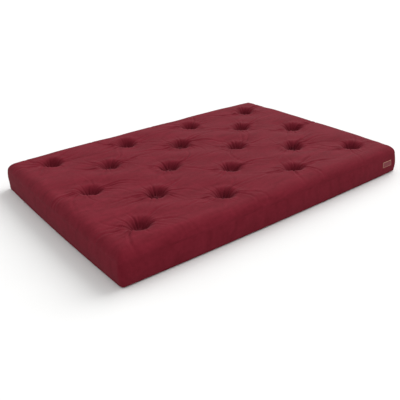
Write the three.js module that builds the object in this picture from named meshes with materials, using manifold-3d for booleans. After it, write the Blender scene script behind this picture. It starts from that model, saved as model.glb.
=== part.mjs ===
// A tufted futon mattress for a full-size futon frame, lying flat as a bed.
// Millimetres. X runs along the 75 inch side, Y across the 54 inch side, +Z up.
// The origin is on the floor under the middle of the mattress.
//
// It is built in layers: a stiff-fibre core, a wrap of batting above and below it, and a sewn cover of two
// panels and a boxing strip. Twines run through all the layers and pull them together at every tuft.
// The mattress folds into a sofa along the middle row of tufts, so each layer that crosses that line is
// made in three spans: one on the seat half, one over the fold and one on the back half.

import * as THREE from "three";
import { mergeVertices } from "three/addons/utils/BufferGeometryUtils.js";
import Module from "manifold-3d";

// The whole mattress.
const LENGTH = 1905;
const WIDTH = 1372;
const HEIGHT = 175;
const CORNER_RADIUS = 45; // of the upright corners
const EDGE_ROLL = 33; // of the long top and bottom edges
const CORNER_FACETS = 3;
const EDGE_FACETS = 2;

// The layers, measured inward from the outside.
const COVER = 3;
const BATTING = 25;
const PINCHED_BATTING = 9; // under a tuft
const SEAM_LEVEL = 30; // of the seam between a panel and the boxing, from the nearer face
const GAP = 0.3; // kept between pieces that touch

// The tufts: rows of four and three by turns, five rows in all.
const TUFT_PITCH = 497;
const ROW_PITCH = 250;
const ROW_SIZES = [4, 3, 4, 3, 4];
const PIT_DEPTH = 40;
const PIT_MOUTH_RADIUS = 70;
const PIT_FLOOR_RADIUS = 13;
const PIT_SIDES = 6;

// The twine and its two stop washers at each tuft.
const TWINE_RADIUS = 1.5;
const TWINE_HOLE_RADIUS = 2.2;
const WASHER_RADIUS = 10;
const WASHER_THICKNESS = 3;

// The fold, along X at mid height.
const FOLD_HALF_WIDTH = 80;

// The blank sewn label on the front side, and the blank care tag on the underside.
const LABEL = { width: 78, height: 34, thickness: 0.8, x: 856, z: 71 };
const CARE_TAG = { width: 110, height: 60, thickness: 0.6, x: -745, y: 618 };
const TAG_POCKET = 0.6; // how far a tag sinks into the cover behind it

const REACH = 2 * LENGTH; // longer than the mattress, for cutting solids
const PAST = 5; // how far a cutting solid runs past the face that it cuts
const TOP = HEIGHT;
const MIDDLE = HEIGHT / 2;

const wasm = await Module();
wasm.setup();

// ---- from three.js geometry to solids and back ----

function solid(geometry) {
  const bare = geometry.clone();
  bare.deleteAttribute("normal");
  bare.deleteAttribute("uv");
  const merged = mergeVertices(bare, 1e-4);
  const mesh = new wasm.Mesh({
    numProp: 3,
    vertProperties: new Float32Array(merged.attributes.position.array),
    triVerts: new Uint32Array(merged.index.array),
  });
  return new wasm.Manifold(mesh);
}

function geometryOf(shape) {
  const mesh = shape.getMesh();
  const geometry = new THREE.BufferGeometry();
  geometry.setAttribute("position", new THREE.BufferAttribute(mesh.vertProperties, mesh.numProp));
  geometry.setIndex(new THREE.BufferAttribute(mesh.triVerts, 1));
  geometry.computeVertexNormals();
  return geometry;
}

function unite(shapes) {
  return shapes.reduce((all, shape) => all.add(shape));
}

// A block between two corners.
function block([x0, y0, z0], [x1, y1, z1]) {
  const geometry = new THREE.BoxGeometry(x1 - x0, y1 - y0, z1 - z0);
  geometry.translate((x0 + x1) / 2, (y0 + y1) / 2, (z0 + z1) / 2);
  return solid(geometry);
}

// An upright cylinder or cone between two heights.
function cone(x, y, lowZ, highZ, lowRadius, highRadius, sides) {
  const geometry = new THREE.CylinderGeometry(highRadius, lowRadius, highZ - lowZ, sides);
  geometry.rotateX(Math.PI / 2);
  geometry.translate(x, y, (lowZ + highZ) / 2);
  return solid(geometry);
}

// ---- the tufts ----

function tuftPlaces() {
  const middleRow = (ROW_SIZES.length - 1) / 2;
  return ROW_SIZES.flatMap((size, row) =>
    Array.from({ length: size }, (_, place) => ({
      x: (place - (size - 1) / 2) * TUFT_PITCH,
      y: (row - middleRow) * ROW_PITCH,
    })),
  );
}

const TUFTS = tuftPlaces();
const PIT_SPREAD = (PIT_MOUTH_RADIUS - PIT_FLOOR_RADIUS) / PIT_DEPTH; // radius gained per mm of height

// The pit of one tuft in the upper face of a layer whose pit is this much deeper than the outside one.
function upperPit({ x, y }, deeper) {
  const floorZ = TOP - PIT_DEPTH - deeper;
  const mouthZ = TOP + PAST;
  const floorRadius = PIT_FLOOR_RADIUS + deeper;
  return cone(x, y, floorZ, mouthZ, floorRadius, floorRadius + PIT_SPREAD * (mouthZ - floorZ), PIT_SIDES);
}

function lowerPit({ x, y }, deeper) {
  const floorZ = PIT_DEPTH + deeper;
  const floorRadius = PIT_FLOOR_RADIUS + deeper;
  return cone(x, y, -PAST, floorZ, floorRadius + PIT_SPREAD * (floorZ + PAST), floorRadius, PIT_SIDES);
}

function pits(deeper) {
  return unite(TUFTS.flatMap((tuft) => [upperPit(tuft, deeper), lowerPit(tuft, deeper)]));
}

function twineHoles() {
  const hole = ({ x, y }) => cone(x, y, 0, TOP, TWINE_HOLE_RADIUS, TWINE_HOLE_RADIUS, PIT_SIDES);
  return unite(TUFTS.map(hole));
}

// ---- the nested outlines that the layers lie between ----

function roundedOutline(inset) {
  const x = LENGTH / 2 - inset;
  const y = WIDTH / 2 - inset;
  const r = CORNER_RADIUS - inset;
  const outline = new THREE.Shape();
  outline.moveTo(-x + r, -y);
  outline.lineTo(x - r, -y);
  outline.absarc(x - r, -y + r, r, -Math.PI / 2, 0);
  outline.lineTo(x, y - r);
  outline.absarc(x - r, y - r, r, 0, Math.PI / 2);
  outline.lineTo(-x + r, y);
  outline.absarc(-x + r, y - r, r, Math.PI / 2, Math.PI);
  outline.lineTo(-x, -y + r);
  outline.absarc(-x + r, -y + r, r, Math.PI, (3 * Math.PI) / 2);
  return outline;
}

// The mattress body shrunk by an inset, with its edges rolled over.
function body(inset) {
  const roll = EDGE_ROLL - inset;
  const geometry = new THREE.ExtrudeGeometry(roundedOutline(inset), {
    depth: HEIGHT - 2 * inset - 2 * roll,
    bevelThickness: roll,
    bevelSize: roll,
    bevelOffset: -roll,
    bevelSegments: EDGE_FACETS,
    curveSegments: CORNER_FACETS,
  });
  geometry.translate(0, 0, inset + roll);
  return solid(geometry);
}

// ---- cutting a layer up ----

const SPANS = {
  seat: [-REACH, -FOLD_HALF_WIDTH - GAP / 2],
  fold: [-FOLD_HALF_WIDTH + GAP / 2, FOLD_HALF_WIDTH - GAP / 2],
  back: [FOLD_HALF_WIDTH + GAP / 2, REACH],
};

function between(shape, lowZ, highZ) {
  return shape.intersect(block([-REACH, -REACH, lowZ], [REACH, REACH, highZ]));
}

// The part of a layer that lies over one span of the fold.
function spanOf(shape, span) {
  const [lowY, highY] = SPANS[span];
  return shape.intersect(block([-REACH, lowY, -REACH], [REACH, highY, REACH]));
}

// An upright wedge that takes one whole side of the mattress, mitred at its two corners.
function sideWedge(halfAcross, halfAlong, turn) {
  const deep = 2 * CORNER_RADIUS;
  const far = PAST + deep;
  const trim = GAP / 2;
  const outline = new THREE.Shape();
  outline.moveTo(-halfAcross - PAST + trim, -halfAlong - PAST);
  outline.lineTo(halfAcross + PAST - trim, -halfAlong - PAST);
  outline.lineTo(halfAcross + PAST - far - trim, -halfAlong - PAST + far);
  outline.lineTo(-halfAcross - PAST + far + trim, -halfAlong - PAST + far);
  const geometry = new THREE.ExtrudeGeometry(outline, { depth: HEIGHT, bevelEnabled: false });
  geometry.rotateZ(turn);
  return solid(geometry);
}

// ---- the sewn cover ----

function coverShell() {
  const outside = body(0).subtract(pits(0));
  const inside = body(COVER).subtract(pits(COVER));
  return outside.subtract(inside).subtract(twineHoles());
}

// The band that belongs to the boxing: the sides, between the two seams.
function boxingBand(seamAllowance) {
  const rim = 2 * CORNER_RADIUS;
  const low = SEAM_LEVEL + seamAllowance;
  const high = TOP - SEAM_LEVEL - seamAllowance;
  const around = block([-REACH, -REACH, low], [REACH, REACH, high]);
  const heart = block(
    [-LENGTH / 2 + rim, -WIDTH / 2 + rim, 0],
    [LENGTH / 2 - rim, WIDTH / 2 - rim, TOP],
  );
  return around.subtract(heart);
}

function panels(shell) {
  const both = shell.subtract(boxingBand(-GAP / 2));
  return { top: between(both, MIDDLE, REACH), bottom: between(both, -REACH, MIDDLE) };
}

function boxingSides(shell) {
  const ring = shell.intersect(boxingBand(GAP / 2));
  const quarter = Math.PI / 2;
  return {
    front: ring.intersect(sideWedge(LENGTH / 2, WIDTH / 2, 0)),
    right: ring.intersect(sideWedge(WIDTH / 2, LENGTH / 2, quarter)),
    back: ring.intersect(sideWedge(LENGTH / 2, WIDTH / 2, 2 * quarter)),
    left: ring.intersect(sideWedge(WIDTH / 2, LENGTH / 2, -quarter)),
  };
}

// ---- the tags, each let into the soft cover so that it lies flush ----

function labelBlock(margin) {
  const { width, height, x, z } = LABEL;
  return block(
    [x - width / 2 - margin, -WIDTH / 2 + (margin ? -PAST : GAP), z - height / 2 - margin],
    [x + width / 2 + margin, -WIDTH / 2 + GAP + LABEL.thickness + margin, z + height / 2 + margin],
  );
}

function careTagBlock(margin) {
  const { width, height, x, y } = CARE_TAG;
  return block(
    [x - width / 2 - margin, y - height / 2 - margin, margin ? -PAST : GAP],
    [x + width / 2 + margin, y + height / 2 + margin, GAP + CARE_TAG.thickness + margin],
  );
}

// ---- the filling ----

function battingShell() {
  const outside = body(COVER + GAP).subtract(pits(COVER + GAP));
  const inside = body(COVER + BATTING).subtract(pits(COVER + PINCHED_BATTING));
  return outside.subtract(inside).subtract(twineHoles());
}

function coreBlock() {
  const inset = COVER + BATTING + GAP;
  return body(inset).subtract(pits(COVER + PINCHED_BATTING + GAP)).subtract(twineHoles());
}

// One twine with a stop washer tied on each end, pulled tight into its two pits.
function tuftTie() {
  const washerZ = TOP - PIT_DEPTH + GAP - MIDDLE;
  const washerTop = washerZ + WASHER_THICKNESS;
  const halfProfile = [
    [TWINE_RADIUS, washerZ],
    [WASHER_RADIUS, washerZ],
    [WASHER_RADIUS, washerTop],
    [0, washerTop],
  ];
  const lower = halfProfile.map(([r, z]) => new THREE.Vector2(r, -z)).reverse();
  const upper = halfProfile.map(([r, z]) => new THREE.Vector2(r, z));
  const geometry = new THREE.LatheGeometry([...lower, ...upper], PIT_SIDES);
  geometry.rotateX(Math.PI / 2);
  return geometry;
}

// ---- materials ----

function cloth(colour, roughness) {
  return new THREE.MeshStandardMaterial({ color: colour, roughness, metalness: 0 });
}

const MICROFIBRE = () => cloth(0x7a2c38, 0.85);
const BATTING_FIBRE = () => cloth(0xe9e4d8, 0.95);
const CORE_FIBRE = () => cloth(0xd8cdb4, 0.95);
const TWINE = () => cloth(0x4a1820, 0.7);
const LABEL_WEAVE = () => cloth(0x8f3f4b, 0.6);
const TAG_WEAVE = () => cloth(0xf0eee8, 0.8);

// ---- assembly ----

const mattress = new THREE.Group();

function addPiece(name, geometry, material) {
  const mesh = new THREE.Mesh(geometry, material);
  mesh.name = name;
  mattress.add(mesh);
  return mesh;
}

function addSpans(name, shape, material) {
  for (const span of Object.keys(SPANS)) {
    addPiece(`${name}_${span}_span`, geometryOf(spanOf(shape, span)), material());
  }
}

function addCover() {
  const shell = coverShell();
  const panel = panels(shell);
  const side = boxingSides(shell);
  addSpans("top_panel", panel.top, MICROFIBRE);
  addSpans("bottom_panel", panel.bottom.subtract(careTagBlock(TAG_POCKET)), MICROFIBRE);
  addPiece("front_boxing", geometryOf(side.front.subtract(labelBlock(TAG_POCKET))), MICROFIBRE());
  addPiece("back_boxing", geometryOf(side.back), MICROFIBRE());
  addSpans("left_boxing", side.left, MICROFIBRE);
  addSpans("right_boxing", side.right, MICROFIBRE);
}

function addFilling() {
  const batting = battingShell();
  addSpans("top_batting", between(batting, MIDDLE + GAP / 2, REACH), BATTING_FIBRE);
  addSpans("bottom_batting", between(batting, -REACH, MIDDLE - GAP / 2), BATTING_FIBRE);
  addSpans("core", coreBlock(), CORE_FIBRE);
}

function addTags() {
  addPiece("woven_label", geometryOf(labelBlock(0)), LABEL_WEAVE());
  addPiece("care_tag", geometryOf(careTagBlock(0)), TAG_WEAVE());
}

function addTuftTies() {
  TUFTS.forEach(({ x, y }, index) => {
    const name = `tuft_tie_${String(index + 1).padStart(2, "0")}`;
    addPiece(name, tuftTie(), TWINE()).position.set(x, y, MIDDLE);
  });
}

addCover();
addFilling();
addTags();
addTuftTies();

export default mattress;
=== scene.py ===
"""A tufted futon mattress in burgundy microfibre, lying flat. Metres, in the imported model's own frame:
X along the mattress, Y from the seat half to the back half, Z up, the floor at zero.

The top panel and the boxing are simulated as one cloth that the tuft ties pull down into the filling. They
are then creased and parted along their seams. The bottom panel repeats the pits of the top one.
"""

import math

import bpy
import numpy as np
from mathutils import Matrix, Vector


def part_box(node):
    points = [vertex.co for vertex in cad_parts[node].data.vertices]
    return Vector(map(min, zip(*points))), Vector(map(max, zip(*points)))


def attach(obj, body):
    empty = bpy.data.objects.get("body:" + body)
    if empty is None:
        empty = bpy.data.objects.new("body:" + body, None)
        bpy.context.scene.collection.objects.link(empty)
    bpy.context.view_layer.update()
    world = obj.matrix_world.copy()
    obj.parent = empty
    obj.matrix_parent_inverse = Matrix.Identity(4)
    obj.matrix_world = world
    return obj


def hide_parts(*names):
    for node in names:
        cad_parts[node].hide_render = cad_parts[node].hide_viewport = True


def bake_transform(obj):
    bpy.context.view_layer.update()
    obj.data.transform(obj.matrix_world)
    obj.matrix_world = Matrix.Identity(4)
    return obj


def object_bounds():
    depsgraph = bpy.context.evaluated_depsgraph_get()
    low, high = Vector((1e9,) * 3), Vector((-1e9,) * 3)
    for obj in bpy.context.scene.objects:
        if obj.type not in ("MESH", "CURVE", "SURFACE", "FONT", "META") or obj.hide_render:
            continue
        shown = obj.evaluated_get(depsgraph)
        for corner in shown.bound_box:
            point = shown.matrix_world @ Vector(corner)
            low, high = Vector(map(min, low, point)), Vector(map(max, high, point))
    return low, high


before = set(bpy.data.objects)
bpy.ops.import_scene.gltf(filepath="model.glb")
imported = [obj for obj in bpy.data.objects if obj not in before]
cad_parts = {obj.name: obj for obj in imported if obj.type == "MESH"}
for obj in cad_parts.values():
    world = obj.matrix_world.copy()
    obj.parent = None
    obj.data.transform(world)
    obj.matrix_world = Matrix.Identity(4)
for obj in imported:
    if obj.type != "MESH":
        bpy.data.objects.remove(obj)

CAD_LOW, CAD_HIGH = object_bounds()

# ---- driving dimensions, in metres ----

HALF_LENGTH, HALF_WIDTH, HEIGHT = CAD_HIGH
MIDDLE = HEIGHT / 2
SEAT, BACK = "seat_half", "back_half"
SPANS = ("seat", "fold", "back")  # the CAD parts a layer that crosses the fold into these

TUFT_NODES = sorted(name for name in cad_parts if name.startswith("tuft_tie"))
TUFTS = [(Vector(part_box(name)[0]) + Vector(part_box(name)[1])).xy / 2 for name in TUFT_NODES]
TIE_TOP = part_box(TUFT_NODES[0])[1][2]
PIT_FLOOR = TIE_TOP - 0.009  # how low the ties draw the cover down

CELL = 0.0105  # of the simulated cloth
FINE_CELL, COARSE_CELL = 0.0035, 0.0078  # of the finished cover, at the tufts and between them
FINE_ZONE = (0.035, 0.075)  # from a tuft's row or column: fine up to the first, coarse past the second
PROUD = 0.012  # how far the full cover stands out past its nominal size
FULL = HEIGHT + 0.003  # height of the filling between the tufts
CROWN = 0.001  # how much lower the filling is at the edges than in the middle
CORNER_SAG = 0.014  # and how much lower again at the four corners
TOP_SEAM = 0.116  # height of the seam between the top panel and the boxing
LOW_SEAM = 0.014  # and of the seam between the boxing and the bottom panel
REST = 0.0015  # how high the pressed underside lies above the floor
ROLL_IN = 0.066  # how far the soft roll of the upper edge reaches in from the side
LOW_ROLL_IN = 0.006  # and that of the lower edge
SIDE_BULGE = 0.004  # how far the boxing stands out between its seams
SIDE_BOW = 0.010  # how much further out a side stands at its middle than at its corners
CORNER = 0.022  # rounding of the upright corners
PIT_REACH = 0.050  # how fast a tuft's pit opens
DIP_REACH = 0.115  # and the shallow dip round it
PIT_SHARE = 0.66  # the pit's part of the whole pull, and the dip has the rest
PRESSED = 0.012  # relief shallower than this is pressed flat underneath
PRESSED_EDGE = (0.03, 0.10)  # from the side: no relief up to the first, all of it past the second

rng = np.random.default_rng(5)


def smoothstep(value, low, high):
    t = np.clip((value - low) / (high - low), 0, 1)
    return t * t * (3 - 2 * t)


# ---- meshes from grids of points ----

def grid_faces(index):
    """Quads over a two-dimensional array of vertex numbers, facing up when rows run along +Y."""
    faces = np.stack([index[:-1, :-1], index[:-1, 1:], index[1:, 1:], index[1:, :-1]], axis=-1)
    return faces.reshape(-1, 4)


def new_object(name, points, faces, material=None):
    mesh = bpy.data.meshes.new(name)
    mesh.from_pydata(np.asarray(points).tolist(), [], np.asarray(faces).tolist())
    mesh.validate()
    mesh.polygons.foreach_set("use_smooth", [True] * len(mesh.polygons))
    mesh.update()
    thing = bpy.data.objects.new(name, mesh)
    bpy.context.scene.collection.objects.link(thing)
    if material:
        mesh.materials.append(material)
    return thing


def store(thing, name, values):
    """Keeps one vector for each vertex, for the materials to read."""
    attribute = thing.data.attributes.new(name, "FLOAT_VECTOR", "POINT")
    attribute.data.foreach_set("vector", np.asarray(values, np.float32).ravel())


def points_of(mesh):
    points = np.empty(len(mesh.vertices) * 3, np.float32)
    mesh.vertices.foreach_get("co", points)
    return points.reshape(-1, 3).astype(float)


def resample(grid, places, axis, closed=False):
    """Points of a grid at fractional places along one axis, on a smooth curve through its own points."""
    grid = np.moveaxis(grid, axis, 0)
    first = np.minimum(np.floor(places).astype(int), len(grid) - (1 if closed else 2))
    t = (places - first).reshape(-1, *[1] * (grid.ndim - 1))
    if closed:
        before, start, end, after = (grid[(first + k) % len(grid)] for k in (-1, 0, 1, 2))
    else:
        padded = np.concatenate([2 * grid[:1] - grid[1:2], grid, 2 * grid[-1:] - grid[-2:-1]])
        before, start, end, after = (padded[first + k] for k in range(4))
    curve = start + t / 2 * (end - before)
    curve += t**2 / 2 * (2 * before - 5 * start + 4 * end - after)
    curve += t**3 / 2 * (3 * start - before - 3 * end + after)
    return np.moveaxis(curve, 0, axis)


def graded_places(count, half, centres):
    """Fractional places along a grid of `count` cells, close together near the tufts' rows or columns."""
    ruler = np.linspace(-half, half, 4001)
    distance = np.min([np.abs(ruler - centre) for centre in set(centres)], axis=0)
    spacing = FINE_CELL + (COARSE_CELL - FINE_CELL) * smoothstep(distance, *FINE_ZONE)
    between = (spacing[1:] + spacing[:-1]) / 2
    lines = np.concatenate([[0], np.cumsum(1 / between) * (ruler[1] - ruler[0])])
    wanted = np.linspace(0, lines[-1], round(lines[-1]) + 1)
    return np.interp(wanted, lines, np.linspace(0, count, len(ruler)))


def border(grid):
    """The outermost points of a grid, once round, anticlockwise from its first corner."""
    return np.concatenate([grid[0, :-1], grid[:-1, -1], grid[-1, :0:-1], grid[:0:-1, 0]])


# ---- the resting shape of the cover ----

def roll_table(inward, down):
    """Arc length along a quarter ellipse, with how far out and how far down each point of it is."""
    angle = np.linspace(0, math.pi / 2, 91)
    out, drop = inward * np.sin(angle), down * (1 - np.cos(angle))
    steps = np.hypot(np.diff(out), np.diff(drop))
    return np.concatenate([[0], np.cumsum(steps)]), out, drop


def along_roll(flat, half_flat, table):
    """Where points of the flat cloth come to lie: their places across and their shares of the drop."""
    arc, out, drop = table
    past = np.clip(np.abs(flat) - half_flat, 0, None)
    across = np.sign(flat) * (np.minimum(np.abs(flat), half_flat) + np.interp(past, arc, out))
    return across, np.interp(past, arc, drop) / drop[-1]


def shape_outline(x, y, half_x, half_y):
    """Rounds the square corners in plan and bows the sides out a little between them."""
    dx = np.clip(np.abs(x) - (half_x - CORNER), 0, None) / CORNER
    dy = np.clip(np.abs(y) - (half_y - CORNER), 0, None) / CORNER
    inside = (dx > 0) & (dy > 0)
    round_x = np.where(inside, dx * (np.sqrt(1 - dy**2 / 2) - 1), 0) * CORNER
    round_y = np.where(inside, dy * (np.sqrt(1 - dx**2 / 2) - 1), 0) * CORNER
    bow_x = SIDE_BOW * (y / half_y) ** 2 * smoothstep(np.abs(x), 0.6 * half_x, half_x)
    bow_y = SIDE_BOW * (x / half_x) ** 2 * smoothstep(np.abs(y), 0.6 * half_y, half_y)
    return x + np.sign(x) * (round_x - bow_x), y + np.sign(y) * (round_y - bow_y)


class Panel:
    """A panel's cloth laid over its rolled edges: its flat coordinates and its resting points."""

    def __init__(self, columns, rows, roll_in, drop, inset=0.0):
        table = roll_table(roll_in, drop)
        proud = PROUD - SIDE_BULGE - inset
        half_x, half_y = HALF_LENGTH + proud, HALF_WIDTH + proud
        flat_x, flat_y = half_x - roll_in, half_y - roll_in
        self.cloth_x, self.cloth_y = flat_x + table[0][-1], flat_y + table[0][-1]
        self.columns = columns or round(2 * self.cloth_x / CELL)
        self.rows = rows or round(2 * self.cloth_y / CELL)
        s, t = np.meshgrid(
            np.linspace(-self.cloth_x, self.cloth_x, self.columns + 1),
            np.linspace(-self.cloth_y, self.cloth_y, self.rows + 1),
        )
        self.cloth = np.stack([s, t, np.zeros_like(s)], axis=-1)
        x, fall_x = along_roll(s, flat_x, table)
        y, fall_y = along_roll(t, flat_y, table)
        self.fall = np.minimum((fall_x**3 + fall_y**3) ** (1 / 3), 1)
        self.x, self.y = shape_outline(x, y, half_x, half_y)


def top_points(panel):
    drop = FULL - CROWN - TOP_SEAM
    crown = CROWN * (1 - (panel.x / HALF_LENGTH) ** 4) * (1 - (panel.y / HALF_WIDTH) ** 4)
    corner = (np.abs(panel.x) / HALF_LENGTH) ** 8 * (np.abs(panel.y) / HALF_WIDTH) ** 8
    z = TOP_SEAM + (drop + crown - CORNER_SAG * corner) * (1 - panel.fall)
    return np.stack([panel.x, panel.y, z], axis=-1)


def outward(ring):
    """Unit vectors pointing straight out from a ring of points, in plan."""
    along = np.roll(ring, -1, axis=0)[:, :2] - np.roll(ring, 1, axis=0)[:, :2]
    along /= np.linalg.norm(along, axis=1)[:, None]
    return np.stack([along[:, 1], -along[:, 0]], axis=1)


def boxing_rings(rim):
    """Rings of points down the side, from the top seam to the low one."""
    count = round((TOP_SEAM - LOW_SEAM) / CELL)
    rings = np.repeat(rim[None], count + 1, axis=0)
    for k, share in enumerate(np.linspace(0, 1, count + 1)):
        rings[k, :, :2] += outward(rim) * SIDE_BULGE * math.sin(math.pi * share)
        rings[k, :, 2] = TOP_SEAM + (LOW_SEAM - TOP_SEAM) * share
    return rings


def pull(x, y):
    """How far the tufts pull the cover down at a place, as a share of the full pull."""
    total = np.zeros_like(x)
    for tuft in TUFTS:
        distance = np.hypot(x - tuft.x, y - tuft.y)
        pit = np.exp(-((distance / PIT_REACH) ** 2))
        dip = np.exp(-distance / DIP_REACH)
        total += PIT_SHARE * pit + (1 - PIT_SHARE) * dip
    return np.minimum(total, 1)


# ---- the cloth simulation ----

PULL_FRAMES = 14  # the ties are pulled tight over these
FRAMES = 24
PINCH_RADIUS = 0.016  # of the cloth that a tie holds
GATHER = 0.45  # how much of its spread the pinched cloth keeps
FILLING_HOLD = 0.22  # how firmly the filling holds the cloth in its place
EDGE_HOLD = 0.36  # and how firmly it does near the sides
EDGE_ZONE = (0.12, 0.26)  # from the side: the edge's hold up to the first, the filling's past the second
SLACK_ACROSS = 1.030  # how much longer the cloth is cut than it lies
SLACK_ALONG = 1.010
CLOTH_SETTINGS = {
    "quality": 6,
    "mass": 0.25,
    "tension_stiffness": 30,
    "compression_stiffness": 30,
    "shear_stiffness": 8,
    "bending_stiffness": 0.08,
    "tension_damping": 5,
    "compression_damping": 5,
    "shear_damping": 5,
    "bending_damping": 0.5,
    "air_damping": 1.5,
    "pin_stiffness": 8,
    "use_pressure": True,
    "uniform_pressure_force": 3.0,
}


def tufted_points(points, count):
    """The cloth with its tufts drawn down and gathered, and which of its points the ties hold."""
    x, y = points[:, 0], points[:, 1]
    panel = np.arange(len(points)) < count
    goal = points.copy()
    goal[:, 2] -= np.where(panel, (points[:, 2] - PIT_FLOOR) * pull(x, y), 0)
    tied = np.zeros(len(points), bool)
    for tuft in TUFTS:
        near = panel & (np.hypot(x - tuft.x, y - tuft.y) < PINCH_RADIUS)
        goal[near, 0] = tuft.x + (x[near] - tuft.x) * GATHER
        goal[near, 1] = tuft.y + (y[near] - tuft.y) * GATHER
        goal[near, 2] = PIT_FLOOR
        tied |= near
    return goal, tied


def shape_key(thing, name, points):
    key = thing.shape_key_add(name=name)
    key.data.foreach_set("co", points.astype(np.float32).ravel())
    return key


def simulate(panel, rings):
    """The cover after the ties have been pulled tight, as a new panel grid and new rings."""
    grid_index = np.arange(panel.shape[0] * panel.shape[1]).reshape(panel.shape[:2])
    ring_index = grid_index.size + np.arange(rings[1:, :, 0].size).reshape(rings[1:].shape[:2])
    loops = np.concatenate([border(grid_index)[None], ring_index])
    loops = np.concatenate([loops, loops[:, :1]], axis=1)
    points = np.concatenate([panel.reshape(-1, 3), rings[1:].reshape(-1, 3)])
    goal, tied = tufted_points(points, grid_index.size)
    faces = np.concatenate([grid_faces(grid_index), grid_faces(loops)[:, ::-1]])
    moved = pull_tight(points, faces, goal, tied, ring_index[-1])
    sides = moved[loops[:, :-1].ravel()].reshape(*rings.shape)
    return moved[: grid_index.size].reshape(panel.shape), sides


def pull_tight(points, faces, goal, tied, hem):
    """Runs the cloth simulation: the tied points and the hem are held, the rest follows the filling."""
    thing = new_object("cover_cloth", points, faces)
    held = tied.copy()
    held[hem] = True
    group = thing.vertex_groups.new(name="held")
    group.add(np.flatnonzero(held).tolist(), 1.0, "REPLACE")
    to_side = np.minimum(HALF_LENGTH - np.abs(points[:, 0]), HALF_WIDTH - np.abs(points[:, 1]))
    firmness = EDGE_HOLD + (FILLING_HOLD - EDGE_HOLD) * smoothstep(to_side, *EDGE_ZONE)
    for vertex in np.flatnonzero(~held):
        group.add([int(vertex)], firmness[vertex], "REPLACE")
    shape_key(thing, "Basis", points)
    tufted = shape_key(thing, "tufted", goal)
    for value, at in ((0, 1), (1, PULL_FRAMES)):
        tufted.value = value
        tufted.keyframe_insert("value", frame=at)
    cloth = thing.modifiers.new("Cloth", "CLOTH")
    for setting, value in CLOTH_SETTINGS.items():
        setattr(cloth.settings, setting, value)
    cloth.settings.vertex_group_mass = "held"
    slack = shape_key(thing, "slack", points * [SLACK_ALONG, SLACK_ACROSS, 1])
    cloth.settings.rest_shape_key = slack
    cloth.settings.effector_weights.gravity = 0
    cloth.collision_settings.use_collision = False
    cloth.point_cache.frame_start = 1
    cloth.point_cache.frame_end = FRAMES
    for number in range(1, FRAMES + 1):
        bpy.context.scene.frame_set(number)
    moved = points_of(thing.evaluated_get(bpy.context.evaluated_depsgraph_get()).data)
    bpy.context.scene.frame_set(1)
    bpy.data.objects.remove(thing)
    return moved


# ---- creases, sculpted on the finer mesh ----

CREASES_PER_TUFT = 22
CREASE_JITTER = 0.42  # how far a crease may turn from its even place, in steps between creases
CREASE_REACH = (0.040, 0.085)  # how far out a crease dies away
EXTRA_REACH = (0.05, 0.17)  # of the creases that run along the mattress
CREASE_DEPTH = (0.0022, 0.0066)
CREASE_CURL = (-0.35, 0.35)  # turn of a crease over CURL_LENGTH
CURL_LENGTH = 0.1
SWAY, SWAY_LENGTH = 0.03, 0.030  # turn of a crease from side to side, and over what distance
CREASE_WIDTH, CREASE_SPREAD = 0.0027, 0.034  # at the tuft, and how fast it widens outward
CREASE_START = (0.008, 0.030)  # from the tuft: no crease up to the first, full past the second
CREASED_RADIUS = 0.40  # no crease reaches past this
RIDGE_PLACE, RIDGE_HEIGHT = 1.7, 0.45  # of a crease's two ridges, as shares of its width and depth
BOWL_DEPTH, BOWL_PLACE, BOWL_WIDTH = 0.012, 0.029, 0.018
LIP_HEIGHT, LIP_PLACE, LIP_WIDTH = 0.0085, 0.074, 0.028
EDGE_FADE = 0.08  # the sculpting dies away over this at the sides
LUMP_WAVES = 9
PANEL_LUMPS = {"seed": 21, "length": 0.30, "height": 0.0034}
BOXING_LUMPS = {"seed": 33, "length": 0.30, "height": 0.0020}
BOXING_DEPTH = 0.12  # height of the boxing, as its lumps see it


def crease_profile(distance, width):
    """A narrow valley between two low ridges."""
    valley = -np.exp(-((distance / width) ** 2))
    ridges = np.exp(-(((np.abs(distance) - RIDGE_PLACE * width) / width) ** 2))
    return valley + RIDGE_HEIGHT * ridges


def tuft_creases(x, y, tuft):
    """The creases that radiate from one tuft, as heights."""
    radius = np.hypot(x - tuft.x, y - tuft.y)
    bearing = np.arctan2(y - tuft.y, x - tuft.x)
    width = CREASE_WIDTH + CREASE_SPREAD * radius
    height = np.zeros_like(x)
    for k in range(CREASES_PER_TUFT):
        heading = (k + rng.uniform(-CREASE_JITTER, CREASE_JITTER)) * 2 * math.pi / CREASES_PER_TUFT
        along = abs(math.cos(heading)) ** 3
        reach = rng.uniform(*CREASE_REACH) + along * rng.uniform(*EXTRA_REACH)
        depth = rng.uniform(*CREASE_DEPTH) * (1 + 0.35 * along)
        curl = rng.uniform(*CREASE_CURL)
        sway = rng.uniform(0, 2 * math.pi)
        bend = curl * radius / CURL_LENGTH + SWAY * np.sin(radius / SWAY_LENGTH + sway)
        turn = (bearing - heading - bend + math.pi) % (2 * math.pi) - math.pi
        aside = radius * np.sin(turn)
        ahead = np.cos(turn) > 0
        fade = smoothstep(radius, *CREASE_START) * np.exp(-((radius / reach) ** 2))
        height += np.where(ahead, depth * fade * crease_profile(aside, width), 0)
    return height


def lumps(x, y, seed, length, height):
    """Low, soft unevenness of the filling: a sum of waves in random directions."""
    waves = np.random.default_rng(seed)
    total = np.zeros_like(x)
    for _ in range(LUMP_WAVES):
        heading, phase = waves.uniform(0, 2 * math.pi, 2)
        wavelength = length * waves.uniform(0.7, 1.6)
        run = x * math.cos(heading) * 0.7 + y * math.sin(heading)
        total += np.sin(2 * math.pi * run / wavelength + phase)
    return height * total / math.sqrt(LUMP_WAVES)


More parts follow.
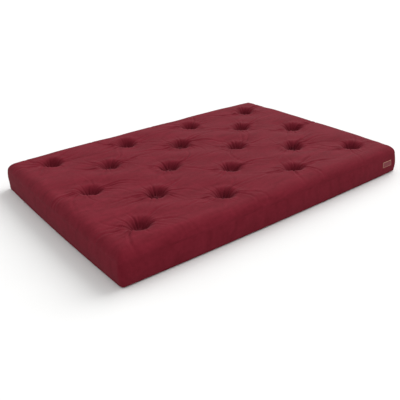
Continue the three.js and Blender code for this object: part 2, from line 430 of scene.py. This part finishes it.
def bowl(radius):
    """Steepens the pit that the cloth settled into: a deeper ring low down and a fuller lip above it."""
    ring = np.exp(-(((radius - BOWL_PLACE) / BOWL_WIDTH) ** 2))
    lip = np.exp(-(((radius - LIP_PLACE) / LIP_WIDTH) ** 2))
    return LIP_HEIGHT * lip - BOWL_DEPTH * ring


def away_from_sides(x, y, start, end):
    """0 up to `start` from the nearest sides, rising to 1 at `end`."""
    return smoothstep(HALF_LENGTH - np.abs(x), start, end) * smoothstep(HALF_WIDTH - np.abs(y), start, end)


def sculpt_panel(points):
    """Adds the lumps, bowls and creases to the top panel."""
    x, y = points[..., 0], points[..., 1]
    height = lumps(x, y, **PANEL_LUMPS) * away_from_sides(x, y, 0.0, EDGE_FADE)
    for tuft in TUFTS:
        radius = np.hypot(x - tuft.x, y - tuft.y)
        near = radius < CREASED_RADIUS
        height[near] += tuft_creases(x[near], y[near], tuft) + bowl(radius[near])
    points[..., 2] += height
    return points


def sculpt_sides(rings):
    """Long shallow waves in the boxing, which die away at the seams."""
    run, share = np.meshgrid(np.arange(rings.shape[1]) * CELL / 2, np.linspace(0, 1, len(rings)))
    wave = lumps(run, BOXING_DEPTH * share, **BOXING_LUMPS) * np.sin(math.pi * share)
    rings[..., :2] += wave[..., None] * outward(rings[0])[None]
    return rings


# ---- the pieces of the cover ----

def set_border(grid, loop):
    """Puts a closed loop of points round the edge of a grid."""
    rows, columns = grid.shape[0] - 1, grid.shape[1] - 1
    grid[0, :-1], grid[:-1, -1] = loop[:columns], loop[columns : columns + rows]
    rest = loop[columns + rows :]
    grid[-1, :0:-1], grid[:0:-1, 0] = rest[:columns], rest[columns:]


def underside(top, rim, places_x, places_y, columns, rows):
    """The bottom panel: the same pits turned over, and the rest of it pressed flat on the floor."""
    panel = Panel(columns, rows, LOW_ROLL_IN, LOW_SEAM - REST)
    flat = np.stack([panel.x, panel.y, REST + (LOW_SEAM - REST) * panel.fall], axis=-1)
    flat = refined(flat, places_x, places_y)
    x, y = flat[..., 0], flat[..., 1]
    depth = (HEIGHT - PIT_FLOOR - REST) / (HEIGHT - PRESSED - PIT_FLOOR)
    rise = np.clip(HEIGHT - PRESSED - top[..., 2], 0, None) * depth
    flat[..., 2] += rise * away_from_sides(x, y, *PRESSED_EDGE)
    set_border(flat, rim)
    return flat, panel


def refined(grid, places_x, places_y):
    return resample(resample(grid, places_x, 1), places_y, 0)


def part_boxing(rings, side_cells):
    """The rings of the sides, parted at the corners into one strip for each side, upper seam last."""
    edges = np.cumsum([0, *side_cells])
    strips = {}
    for side, first, last in zip(("front", "right", "back", "left"), edges[:-1], edges[1:]):
        strips[side] = np.take(rings, np.arange(first, last + 1), axis=1, mode="wrap")[::-1]
    return strips


def boxing_piece(side, strip, material):
    steps = np.linalg.norm(np.diff(strip[-1], axis=0, prepend=strip[-1][:1]), axis=1)
    run, rise = np.meshgrid(np.cumsum(steps), np.arange(strip.shape[0]) * CELL / 2)
    flat = np.stack([rise, run, np.zeros_like(run)], axis=-1)
    return cloth_piece(f"{side}_boxing", strip, flat, material)


def flat_sizes(top, low):
    """What each piece of the cover is cut to, from the cloth of the two panels."""
    boxing = TOP_SEAM - LOW_SEAM
    long_side, short_side = 2 * (HALF_LENGTH + PROUD), 2 * (HALF_WIDTH + PROUD)
    return {
        "top_panel": (2 * top.cloth_x * SLACK_ALONG, 2 * top.cloth_y * SLACK_ACROSS),
        "bottom_panel": (2 * low.cloth_x, 2 * low.cloth_y),
        "front_boxing": (long_side, boxing),
        "back_boxing": (long_side, boxing),
        "left_boxing": (short_side, boxing),
        "right_boxing": (short_side, boxing),
    }


def make_cover(material):
    """All six pieces, what each is cut to, the top panel's points and the boxing's strips."""
    shape = Panel(None, None, ROLL_IN, FULL - CROWN - TOP_SEAM)
    columns, rows = shape.columns, shape.rows
    panel, rings = simulate(top_points(shape), boxing_rings(border(top_points(shape))))
    places_x = graded_places(columns, shape.cloth_x, [tuft.x for tuft in TUFTS])
    places_y = graded_places(rows, shape.cloth_y, [tuft.y for tuft in TUFTS])
    side_places = [places_x, places_y, places_x, places_y]
    starts = np.cumsum([0, columns, rows, columns])
    around = np.concatenate([start + places[:-1] for start, places in zip(starts, side_places)])
    rings = resample(resample(rings, around, 1, closed=True), np.arange(0, len(rings) - 0.5, 0.5), 0)
    panel = sculpt_panel(refined(panel, places_x, places_y))
    cloth = refined(shape.cloth, places_x, places_y)
    # the third coordinate carries the tufts' pull, which the cover's material turns into painted shade in
    # the pits
    cloth[..., 2] = pull(panel[..., 0], panel[..., 1])
    rings[0] = border(panel)
    rings = sculpt_sides(rings)
    bottom, low = underside(panel, rings[-1], places_x, places_y, columns, rows)
    low_cloth = refined(low.cloth, places_x, places_y)
    strips = part_boxing(rings, [len(places) - 1 for places in side_places])
    pieces = {
        "top_panel": cloth_piece("top_panel", panel, cloth, material),
        "bottom_panel": cloth_piece("bottom_panel", bottom[:, ::-1], low_cloth[:, ::-1], material),
    }
    for side, strip in strips.items():
        pieces[f"{side}_boxing"] = boxing_piece(side, strip, material)
    return pieces, flat_sizes(shape, low), panel, strips


def cloth_piece(name, grid, cloth, material):
    """A piece of the cover from its grid of points; `cloth` holds each point's place on the flat cloth."""
    index = np.arange(grid.shape[0] * grid.shape[1]).reshape(grid.shape[:2])
    thing = new_object(f"{name}_cloth", grid.reshape(-1, 3), grid_faces(index), material)
    store(thing, "cloth", cloth.reshape(-1, 3))
    return thing


# ---- what is inside the cover ----

BATTING_INSET = 0.006  # how far inside the nominal sides the batting lies
CORE_INSET = 0.032  # and the core
BATTING_GAP = 0.006  # between the top panel and the batting
CORE_GAP = 0.016  # between the top panel and the core, at a tuft
LAYER_GAP = 0.002  # between the batting and the core
BATTING_RIM = MIDDLE + 0.0003  # where the upper batting ends, just above the lower one
CORE_RIM = MIDDLE + 0.020
PAD_COLUMNS, PAD_ROWS = 150, 110
PAD_REACH = 5  # in fine cells: a little more than one cell of the pads


def lowered(heights, cells):
    """Each height of a grid replaced by the lowest within that many cells of it."""
    for _ in range(cells):
        heights = np.minimum(heights, np.minimum(np.roll(heights, 1, 0), np.roll(heights, -1, 0)))
        heights = np.minimum(heights, np.minimum(np.roll(heights, 1, 1), np.roll(heights, -1, 1)))
    return heights


def height_under(grid, x, y):
    """The lowest that a panel lies anywhere near places in plan."""
    columns, rows = grid[grid.shape[0] // 2, :, 0], grid[:, grid.shape[1] // 2, 1]
    i = np.clip(np.searchsorted(columns, x), 0, len(columns) - 1)
    j = np.clip(np.searchsorted(rows, y), 0, len(rows) - 1)
    return lowered(grid[..., 2], PAD_REACH)[j, i]


def dome(inset, top, rim, cover, gap):
    """The upper half of a padded block that keeps clear of the cover above it."""
    panel = Panel(PAD_COLUMNS, PAD_ROWS, ROLL_IN, top - rim, inset + PROUD - SIDE_BULGE)
    z = rim + (top - rim) * (1 - panel.fall)
    z = np.minimum(z, height_under(cover, panel.x, panel.y) - gap)
    return np.stack([panel.x, panel.y, np.maximum(z, rim)], axis=-1)


def turned_over(grid):
    """A grid mirrored in the plane at mid thickness."""
    return grid * [1, 1, -1] + [0, 0, 2 * MIDDLE]


def closed_piece(name, upper, lower, material):
    """A closed solid between an upper and a lower grid."""
    size = upper.shape[0] * upper.shape[1]
    above = np.arange(size).reshape(upper.shape[:2])
    below = above + size
    wall = np.stack([border(below), border(above)])
    wall = np.concatenate([wall, wall[:, :1]], axis=1)
    faces = np.concatenate([grid_faces(above), grid_faces(below)[:, ::-1], grid_faces(wall)])
    points = np.concatenate([upper.reshape(-1, 3), lower.reshape(-1, 3)])
    thing = new_object(f"{name}_mesh", points, faces, material)
    store(thing, "cloth", points)
    return thing


def make_filling(top_grid):
    """Two layers of batting round a core. Each lower half is the upper one turned over. It is not fitted to
    the bottom panel, and the lower batting comes through that panel by up to 4 mm in seven of the pits."""
    fleece = filling("white_fibre", (0.78, 0.76, 0.71), (0.88, 0.86, 0.82))
    pressed = filling("pressed_fibre", (0.62, 0.55, 0.44), (0.74, 0.67, 0.56))
    lining = CORE_INSET - LAYER_GAP
    outer = dome(BATTING_INSET, HEIGHT - BATTING_GAP, BATTING_RIM, top_grid, BATTING_GAP)
    inner = dome(lining, HEIGHT - lining, BATTING_RIM, top_grid, CORE_GAP - LAYER_GAP)
    core = dome(CORE_INSET, HEIGHT - CORE_INSET, CORE_RIM, top_grid, CORE_GAP)
    lower_inner, lower_outer = turned_over(inner), turned_over(outer)
    return {
        "top_batting": closed_piece("top_batting", outer, inner, fleece),
        "bottom_batting": closed_piece("bottom_batting", lower_inner, lower_outer, fleece),
        "core": closed_piece("core", core, turned_over(core), pressed),
    }


# ---- tuft ties ----

WASHER_RADIUS, WASHER_THICKNESS, WASHER_SIDES = 0.0092, 0.0028, 28
WASHER_PROFILE = [  # (share of the radius, share of the thickness)
    (0.25, 0.9),
    (0.7, 1.0),
    (0.92, 0.85),
    (1.0, 0.5),
    (0.95, 0.12),
    (0.80, 0.0),
    (0.3, 0.0),
]
STRAND_RADIUS, STRAND_SIDES, STRAND_STEPS = 0.0007, 7, 70
STRAND_TWIST = 0.011  # height of one turn of the twine
STRAND_TAIL = [(0.0012, 0.0006), (0.0030, 0.0010), (0.0052, 0.0007), (0.0068, -0.0004)]  # (out, up)


def tube(path, radius, sides):
    """Rings of points round a path, and the faces between them, closed by a cap at each end."""
    path = np.asarray(path)
    ahead = np.gradient(path, axis=0)
    ahead /= np.linalg.norm(ahead, axis=1)[:, None]
    aside = np.cross(ahead, [0.31, 0.95, 0.05])
    aside /= np.linalg.norm(aside, axis=1)[:, None]
    up = np.cross(ahead, aside)
    turn = np.linspace(0, 2 * math.pi, sides, endpoint=False)
    spokes = np.cos(turn)[:, None] * aside[:, None] + np.sin(turn)[:, None] * up[:, None]
    return skin(path[:, None] + radius * spokes)


def skin(rings):
    """A closed surface over rings of points, with a fan at each end."""
    count, sides = rings.shape[:2]
    index = np.arange(count * sides).reshape(count, sides)
    index = np.concatenate([index, index[:, :1]], axis=1)
    faces = [list(face) for face in grid_faces(index)]
    ends = [rings[0].mean(axis=0), rings[-1].mean(axis=0)]
    low, high = count * sides, count * sides + 1
    faces += [[low, index[0, k + 1], index[0, k]] for k in range(sides)]
    faces += [[high, index[-1, k], index[-1, k + 1]] for k in range(sides)]
    return np.concatenate([rings.reshape(-1, 3), ends]), faces


def washer_rings(centre, level, facing):
    """A soft felt washer, thicker in the middle, its outer face turned up or down."""
    profile = WASHER_PROFILE if facing < 0 else WASHER_PROFILE[::-1]
    turn = np.linspace(0, 2 * math.pi, WASHER_SIDES, endpoint=False)
    rings = []
    for out, high in profile:
        x = centre.x + WASHER_RADIUS * out * np.cos(turn)
        y = centre.y + WASHER_RADIUS * out * np.sin(turn)
        z = np.full(WASHER_SIDES, level + facing * WASHER_THICKNESS * high)
        rings.append(np.stack([x, y, z], axis=-1))
    return np.array(rings)


def strand_tail(centre, bearing, level, facing):
    """The end of a strand, laid out over its washer."""
    reach = np.array(STRAND_TAIL)
    x = centre.x + reach[:, 0] * math.cos(bearing)
    y = centre.y + reach[:, 0] * math.sin(bearing)
    return np.stack([x, y, level + facing * reach[:, 1]], axis=-1)


def strand_path(centre, phase, low, high):
    """One strand of the twine: it rises in a twist and lies over the washer at each end."""
    heights = np.linspace(low, high, STRAND_STEPS)
    turns = phase + (heights - low) / STRAND_TWIST * 2 * math.pi
    x = centre.x + STRAND_RADIUS * np.cos(turns)
    y = centre.y + STRAND_RADIUS * np.sin(turns)
    lower_tail = strand_tail(centre, turns[0], low, -1)[::-1]
    upper_tail = strand_tail(centre, turns[-1], high, 1)
    return np.concatenate([lower_tail, np.stack([x, y, heights], axis=-1), upper_tail])


def make_tie(name, centre, felt, twine):
    """One tuft tie: a washer at each end, then the two strands of the twine."""
    top_level, low_level = PIT_FLOOR - 0.001, HEIGHT - PIT_FLOOR
    ends = low_level - WASHER_THICKNESS, top_level + WASHER_THICKNESS
    seats = ((top_level, 1), (low_level, -1))
    washers = [skin(washer_rings(centre, level, facing)) for level, facing in seats]
    paths = [strand_path(centre, phase, *ends) for phase in (0, math.pi)]
    strands = [tube(path, STRAND_RADIUS, STRAND_SIDES) for path in paths]
    points, faces, kinds = [], [], []
    for kind, parts in enumerate((washers, strands)):
        for part_points, part_faces in parts:
            faces += [[vertex + len(points) for vertex in face] for face in part_faces]
            kinds += [kind] * len(part_faces)
            points += part_points.tolist()
    tie = bpy.data.objects.new(f"{name}_mesh", bpy.data.meshes.new(f"{name}_mesh"))
    tie.data.from_pydata(points, [], faces)
    for material in (felt, twine):
        tie.data.materials.append(material)
    tie.data.polygons.foreach_set("material_index", kinds)
    tie.data.polygons.foreach_set("use_smooth", [True] * len(faces))
    bpy.context.scene.collection.objects.link(tie)
    store(tie, "cloth", points)
    return tie


# ---- label and tag ----

PATCH_CELL = 0.0016
PATCH_GAP = 0.0002  # between a patch and the cloth it is sewn to
HEM_HEIGHT, HEM_PLACE, HEM_WIDTH = 0.0004, 0.0025, 0.0012
BEVEL = 0.0015


def patch(name, lay, size, thickness, material):
    """A thin sewn patch: `lay` gives the place of a point of it from its own (u, v, height)."""
    columns, rows = round(size[0] / PATCH_CELL), round(size[1] / PATCH_CELL)
    u, v = np.meshgrid(np.linspace(-0.5, 0.5, columns + 1), np.linspace(-0.5, 0.5, rows + 1))
    u, v = u * size[0], v * size[1]
    edge = np.minimum(size[0] / 2 - np.abs(u), size[1] / 2 - np.abs(v))
    hem = HEM_HEIGHT * np.exp(-(((edge - HEM_PLACE) / HEM_WIDTH) ** 2))
    upper = lay(u, v, thickness * (0.4 + 0.6 * smoothstep(edge, 0, BEVEL)) + hem)
    thing = closed_piece(name, upper, lay(u, v, 0 * u), material)
    flat = np.stack([u, v, edge], axis=-1).reshape(-1, 3)
    both_faces = np.tile(flat, (2, 1)).astype(np.float32)
    thing.data.attributes["cloth"].data.foreach_set("vector", both_faces.ravel())
    return thing


def on_front(strip, centre):
    """Lays a patch on the front boxing, round a centre given as (x, z)."""
    columns = strip[strip.shape[0] // 2, :, 0]
    rows = strip[:, np.searchsorted(columns, centre[0]), 2]

    def lay(u, v, height):
        x, z = centre[0] + u, centre[1] + v
        i = np.clip(np.searchsorted(columns, x), 1, len(columns) - 1)
        across = (x - columns[i - 1]) / (columns[i] - columns[i - 1])
        j = np.clip(np.searchsorted(rows, z), 1, len(rows) - 1)
        up = (z - rows[j - 1]) / (rows[j] - rows[j - 1])
        low = strip[j - 1, i - 1, 1] * (1 - across) + strip[j - 1, i, 1] * across
        high = strip[j, i - 1, 1] * (1 - across) + strip[j, i, 1] * across
        return np.stack([x, low * (1 - up) + high * up - PATCH_GAP - height, z], axis=-1)

    return lay


def on_underside(centre):
    """Lays a patch on the pressed underside, facing the floor."""

    def lay(u, v, height):
        return np.stack([centre[0] - u, centre[1] + v, REST - PATCH_GAP - height], axis=-1)

    return lay


# ---- materials ----

class Nodes:
    """Short ways to add and join the nodes of one material."""

    def __init__(self, name):
        self.material = bpy.data.materials.new(name)
        self.material.use_nodes = True
        self.tree = self.material.node_tree
        self.shader = self.tree.nodes["Principled BSDF"]

    def add(self, kind, values=None, **properties):
        node = self.tree.nodes.new(kind)
        for name, value in properties.items():
            setattr(node, name, value)
        for name, value in (values or {}).items():
            self.set(node, name, value)
        return node

    def set(self, node, name, value):
        socket = node.inputs[name]
        if isinstance(value, bpy.types.NodeSocket):
            self.tree.links.new(value, socket)
        else:
            socket.default_value = value

    def place(self, scale):
        """The cloth's own coordinates, in metres, scaled."""
        cloth = self.add("ShaderNodeAttribute", attribute_name="cloth")
        scaled = self.add("ShaderNodeMapping", {"Vector": cloth.outputs["Vector"], "Scale": scale})
        return scaled.outputs["Vector"]

    def noise(self, place, scale, detail=3.0, distortion=0.0):
        node = self.add(
            "ShaderNodeTexNoise",
            {"Vector": place, "Scale": scale, "Detail": detail, "Distortion": distortion},
        )
        return node.outputs["Fac"]

    def math(self, operation, a, b):
        node = self.add("ShaderNodeMath", {0: a, 1: b}, operation=operation)
        return node.outputs[0]

    def ramp(self, value, stops):
        node = self.add("ShaderNodeValToRGB", {"Fac": value})
        elements = node.color_ramp.elements
        while len(elements) < len(stops):
            elements.new(0.5)
        for element, (position, colour) in zip(elements, stops):
            element.position = position
            element.color = (*colour, 1)
        return node.outputs["Color"]

    def mix(self, factor, a, b, blend_type="MIX"):
        """Two colours mixed; 6 and 7 are the colour sockets of this node."""
        node = self.add("ShaderNodeMix", {"Factor": factor}, data_type="RGBA", blend_type=blend_type)
        self.set(node, 6, a)
        self.set(node, 7, b)
        return node.outputs[2]

    def bump(self, height, strength, distance, normal=None):
        values = {"Height": height, "Strength": strength, "Distance": distance}
        node = self.add("ShaderNodeBump", values)
        if normal:
            self.set(node, "Normal", normal)
        return node.outputs["Normal"]


PIT_SHADE = 0.45  # painted shade: how much darker the cover is painted at the middle of a pit, for the shade that falls there


def microfibre():
    """Brushed microfibre: a nap that lies light and dark in soft streaks over a fine weave, with painted
    shade in the pits.
    """
    n = Nodes("burgundy_microfibre")
    metres = n.place((1, 1, 0))
    streaks = n.noise(n.place((0.6, 1.8, 0)), 11, detail=5, distortion=0.8)
    patches = n.noise(metres, 46, detail=4)
    fibres = n.noise(metres, 900, detail=2)
    nap = n.math("ADD", n.math("MULTIPLY", streaks, 0.6), n.math("MULTIPLY", patches, 0.4))
    nap = n.math("ADD", nap, n.math("MULTIPLY", n.math("SUBTRACT", fibres, 0.5), 0.25))
    dark, light = (0.107, 0.0062, 0.0128), (0.147, 0.0108, 0.0206)
    brushed_colour = n.ramp(nap, [(0.34, dark), (0.66, light)])
    cloth = n.add("ShaderNodeAttribute", attribute_name="cloth")
    # painted shade: the further the tufts pull the cover into a pit, the darker its colour is painted
    pit_shade_mask = n.add("ShaderNodeSeparateXYZ", {"Vector": cloth.outputs["Vector"]}).outputs["Z"]
    value = n.math("SUBTRACT", 1.0, n.math("MULTIPLY", n.math("POWER", pit_shade_mask, 1.5), PIT_SHADE))
    shaded = n.add("ShaderNodeHueSaturation", {"Color": brushed_colour, "Value": value})
    n.set(n.shader, "Base Color", shaded.outputs["Color"])
    across = n.add("ShaderNodeTexWave", {"Vector": metres, "Scale": 300.0}, bands_direction="X")
    along = n.add("ShaderNodeTexWave", {"Vector": metres, "Scale": 300.0}, bands_direction="Y")
    weave = n.math("MULTIPLY", across.outputs["Fac"], along.outputs["Fac"])
    rough = n.math("ADD", n.math("MULTIPLY", nap, 0.2), 0.72)
    n.set(n.shader, "Roughness", rough)
    brushed = n.bump(patches, 0.35, 0.0010)
    woven = n.bump(n.math("ADD", n.math("MULTIPLY", weave, 0.4), fibres), 0.30, 0.0004, brushed)
    n.set(n.shader, "Normal", woven)
    n.shader.inputs["Specular IOR Level"].default_value = 0.05
    n.shader.inputs["Sheen Weight"].default_value = 0.025
    n.shader.inputs["Sheen Roughness"].default_value = 0.45
    n.shader.inputs["Sheen Tint"].default_value = (1.0, 0.80, 0.82, 1)
    return n.material


def filling(name, dark, light):
    """Matted fibre: soft clumps under fine crossing hairs."""
    n = Nodes(name)
    metres = n.place((1, 1, 1))
    clumps = n.noise(metres, 55, detail=5, distortion=1.5)
    hairs = n.noise(n.place((1, 6, 1)), 210, detail=4, distortion=2.5)
    both = n.math("ADD", n.math("MULTIPLY", clumps, 0.6), n.math("MULTIPLY", hairs, 0.4))
    n.set(n.shader, "Base Color", n.ramp(both, [(0.3, dark), (0.7, light)]))
    n.shader.inputs["Roughness"].default_value = 0.95
    n.shader.inputs["Specular IOR Level"].default_value = 0.1
    n.set(n.shader, "Normal", n.bump(both, 0.6, 0.003))
    return n.material


def thread(name, dark, light, scale):
    """Felt or twine: one colour, broken up by its fibres."""
    n = Nodes(name)
    fibres = n.noise(n.place((1, 1, 1)), scale, detail=4, distortion=1.0)
    n.set(n.shader, "Base Color", n.ramp(fibres, [(0.35, dark), (0.65, light)]))
    n.shader.inputs["Roughness"].default_value = 0.85
    n.shader.inputs["Specular IOR Level"].default_value = 0.1
    n.set(n.shader, "Normal", n.bump(fibres, 0.5, 0.0005))
    return n.material


def woven_ribbon(name, ground, rim, rim_width):
    """A blank woven patch with a rim in another colour; its coordinates hold the way to the edge."""
    n = Nodes(name)
    place = n.add("ShaderNodeAttribute", attribute_name="cloth").outputs["Vector"]
    edge = n.add("ShaderNodeSeparateXYZ", {"Vector": place}).outputs["Z"]
    wave = {"Vector": place, "Scale": 140.0, "Distortion": 0.6}
    stitches = n.add("ShaderNodeTexWave", wave, bands_direction="DIAGONAL").outputs["Fac"]
    wave = {"Vector": place, "Scale": 420.0}
    threads = n.add("ShaderNodeTexWave", wave, bands_direction="Y").outputs["Fac"]
    on_rim = n.math("MULTIPLY", n.math("LESS_THAN", edge, rim_width), 0.9)
    shade = n.math("ADD", n.math("MULTIPLY", threads, 0.25), 0.8)
    woven = [n.mix(1.0, (*colour, 1), shade, "MULTIPLY") for colour in (ground, rim)]
    n.set(n.shader, "Base Color", n.mix(on_rim, *woven))
    n.shader.inputs["Roughness"].default_value = 0.6
    n.shader.inputs["Specular IOR Level"].default_value = 0.25
    raised = n.math("ADD", n.math("MULTIPLY", stitches, on_rim), threads)
    n.set(n.shader, "Normal", n.bump(raised, 0.4, 0.0003))
    return n.material


# ---- camera, light and floor ----

CAMERA_PLACE = (-1.857, -2.572, 1.402)
CAMERA_ANGLES = (-38.27, 69.73, -1.67)  # turned, tilted and rolled, in degrees
CAMERA_LENS, CAMERA_SHIFT = 51.2, (-0.0655, -0.1425)
SUN_STRENGTH, SUN_SOFTNESS, SUN_DIRECTION = 2.7, 50, (-1.0, -0.18, -0.80)
FLOOR_REACH = 30


def make_camera():
    data = bpy.data.cameras.new("camera")
    data.sensor_width = 36
    data.lens = CAMERA_LENS
    data.shift_x, data.shift_y = CAMERA_SHIFT
    camera = bpy.data.objects.new("camera", data)
    bpy.context.scene.collection.objects.link(camera)
    camera.location = CAMERA_PLACE
    look = Matrix.Identity(3)
    for angle, axis in zip(CAMERA_ANGLES, "ZXZ"):
        look = look @ Matrix.Rotation(math.radians(angle), 3, axis)
    camera.rotation_euler = look.to_euler()
    bpy.context.scene.camera = camera


def make_light():
    sun = bpy.data.lights.new("window", "SUN")
    sun.energy = SUN_STRENGTH
    sun.angle = math.radians(SUN_SOFTNESS)
    light = bpy.data.objects.new("window", sun)
    bpy.context.scene.collection.objects.link(light)
    light.rotation_euler = Vector(SUN_DIRECTION).to_track_quat("-Z", "Y").to_euler()
    world = bpy.data.worlds.new("studio")
    world.use_nodes = True
    background = world.node_tree.nodes["Background"]
    background.inputs["Color"].default_value = (1, 1, 1, 1)
    background.inputs["Strength"].default_value = 1.0
    bpy.context.scene.world = world
    bpy.context.scene.view_settings.view_transform = "Standard"


def make_floor():
    corners = [(x * FLOOR_REACH, y * FLOOR_REACH, 0) for x, y in ((-1, -1), (1, -1), (1, 1), (-1, 1))]
    n = Nodes("pale_floor")
    grain = n.noise(n.add("ShaderNodeTexCoord").outputs["Object"], 3)
    n.set(n.shader, "Base Color", n.ramp(grain, [(0, (0.665, 0.665, 0.66)), (1, (0.69, 0.69, 0.685))]))
    n.shader.inputs["Roughness"].default_value = 0.9
    floor = new_object("floor", corners, [(0, 1, 2, 3)], n.material)


# ---- putting it together ----

def across_the_fold(thing, name):
    """Keeps a piece that the fold crosses in the model's own frame, and hides the CAD parts of its spans.
    """
    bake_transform(thing)
    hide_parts(*(f"{name}_{span}_span" for span in SPANS))


def place_cover():
    """Returns the top panel's points and the front strip's, which other pieces lie against."""
    cover, cut_sizes, top_grid, strips = make_cover(microfibre())
    for name, thing in cover.items():
        if name in ("front_boxing", "back_boxing"):
            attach(thing, SEAT if name == "front_boxing" else BACK)
            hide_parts(name)
        else:
            across_the_fold(thing, name)
    return top_grid, strips["front"]


def place_filling(top_grid):
    for name, thing in make_filling(top_grid).items():
        across_the_fold(thing, name)


def place_ties():
    felt = thread("burgundy_felt", (0.060, 0.004, 0.009), (0.100, 0.008, 0.016), 1400)
    twine = thread("waxed_twine", (0.050, 0.006, 0.010), (0.110, 0.014, 0.022), 2200)
    for name, tuft in zip(TUFT_NODES, TUFTS):
        tie = make_tie(name, tuft, felt, twine)
        if abs(tuft.y) < 0.1:
            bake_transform(tie)
        else:
            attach(tie, SEAT if tuft.y < 0 else BACK)
        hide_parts(name)


def size_and_centre(node, across, up):
    """Of a flat node, along two of its axes."""
    low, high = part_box(node)
    size = high[across] - low[across], high[up] - low[up]
    centre = (low[across] + high[across]) / 2, (low[up] + high[up]) / 2
    return size, centre


def place_label(front_strip):
    label_size, centre = size_and_centre("woven_label", 0, 2)
    ribbon = woven_ribbon("label_ribbon", (0.17, 0.022, 0.030), (0.34, 0.16, 0.11), 0.0035)
    label = patch("woven_label", on_front(front_strip, centre), label_size, 0.0008, ribbon)
    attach(label, SEAT)
    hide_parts("woven_label")


def place_tag():
    tag_size, centre = size_and_centre("care_tag", 0, 1)
    nylon = woven_ribbon("tag_ribbon", (0.70, 0.69, 0.66), (0.52, 0.50, 0.47), 0.004)
    tag = patch("care_tag", on_underside(centre), tag_size, 0.0005, nylon)
    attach(tag, BACK)
    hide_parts("care_tag")


make_camera()
make_light()
make_floor()
top_grid, front_strip = place_cover()
place_filling(top_grid)
place_ties()
place_label(front_strip)
place_tag()
